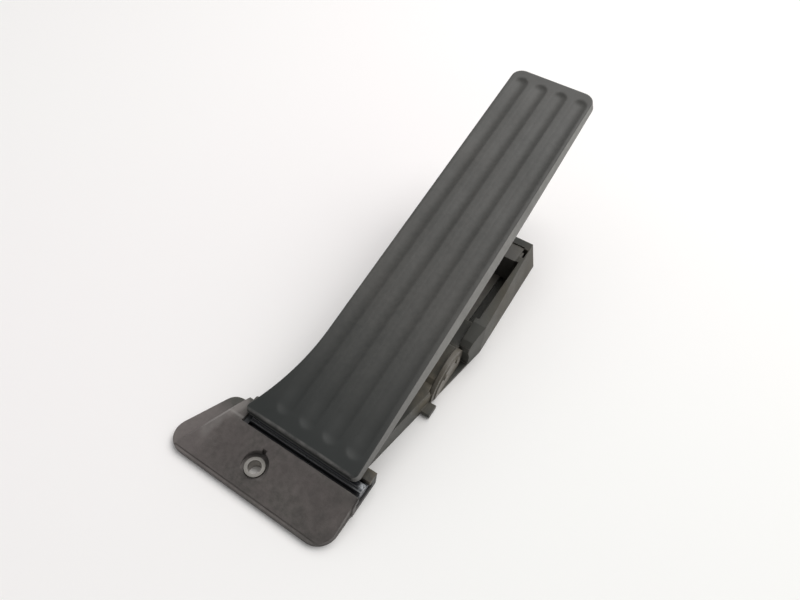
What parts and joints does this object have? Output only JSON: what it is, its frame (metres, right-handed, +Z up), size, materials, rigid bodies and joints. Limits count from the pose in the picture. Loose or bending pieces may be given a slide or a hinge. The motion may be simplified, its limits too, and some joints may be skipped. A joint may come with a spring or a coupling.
{
  "type": "accelerator pedal sensor",
  "caption": "Floor mounted accelerator pedal module: long grooved treadle on a film hinge over a moulded base, with a drive lever, angle sensor and connector socket.",
  "frame": {"origin": "centre of the front bolt hole at the underside of the foot plate, on the floor", "axes": "+X along the pedal from the foot plate towards the treadle's tip, +Y to the pedal's left, +Z up from the floor"},
  "size_m": [0.2805, 0.099, 0.0894],
  "materials": {
    "base_plastic": "moulded glass filled nylon, finely grained, slightly dusty",
    "treadle_plastic": "moulded glass filled nylon, worn smooth on top",
    "hinge_plastic": "smooth moulded plastic",
    "lever_plastic": "smooth moulded plastic",
    "bearing_plastic": "smooth acetal",
    "plated_steel": "zinc plated, fine turning marks",
    "spring_steel": "oiled spring wire",
    "magnet": "nickel plated",
    "circuit_board": "solder resist on glass fibre",
    "chip_plastic": "moulded epoxy",
    "copper_leads": "tin plated copper alloy",
    "cover_plastic": "moulded plastic, slightly dusty",
    "rubber": "matt moulded rubber"
  },
  "bodies": {
    "base": {"base_housing": "base_plastic", "foot_sleeve": "plated_steel", "upper_sleeves": "plated_steel", "hinge_rail": "hinge_plastic", "shaft_bushes": "bearing_plastic", "friction_shoe": "bearing_plastic", "sensor_board": "circuit_board", "hall_chips": "chip_plastic", "lead_frame": "copper_leads", "lead_cover": "cover_plastic", "sensor_cover": "cover_plastic", "sensor_seal": "rubber", "sensor_cover_screws": "plated_steel", "connector_shroud": "cover_plastic", "connector_pins": "copper_leads", "stop_pads": "rubber", "bottom_cover": "cover_plastic", "bottom_cover_screws": "plated_steel", "return_spring_left": "spring_steel", "return_spring_right": "spring_steel", "hinge_web": "hinge_plastic"},
    "treadle": {"treadle": "treadle_plastic"},
    "lever": {"drive_lever": "lever_plastic", "roller_pin": "plated_steel", "lever_shaft": "plated_steel", "magnet_carrier": "lever_plastic", "sensor_magnet": "magnet"},
    "roller": {"lever_roller": "bearing_plastic"}
  },
  "joints": [
    {"name": "treadle_hinge", "type": "hinge", "parent": "base", "child": "treadle", "pos_m": [0.017, -0.016, 0.0128], "axis": [0, 1, 0], "range_deg": [0, 12], "stiffness_Nm_per_rad": 5, "springref_deg": -22.92, "deforming": ["hinge_web"]},
    {"name": "lever_pivot", "type": "hinge", "parent": "base", "child": "lever", "pos_m": [0.096, -0.016, 0.0096], "axis": [0, 1, 0], "range_deg": [0, 24.5], "deforming": ["return_spring_left", "return_spring_right"]},
    {"name": "roller_turn", "type": "hinge", "parent": "lever", "child": "roller", "pos_m": [0.15913, -0.016, 0.05192], "axis": [0, 1, 0], "continuous": true}
  ],
  "couplings": [
    {"joint": "lever_pivot", "follows": "treadle_hinge", "ratio": 2.0377}
  ]
}
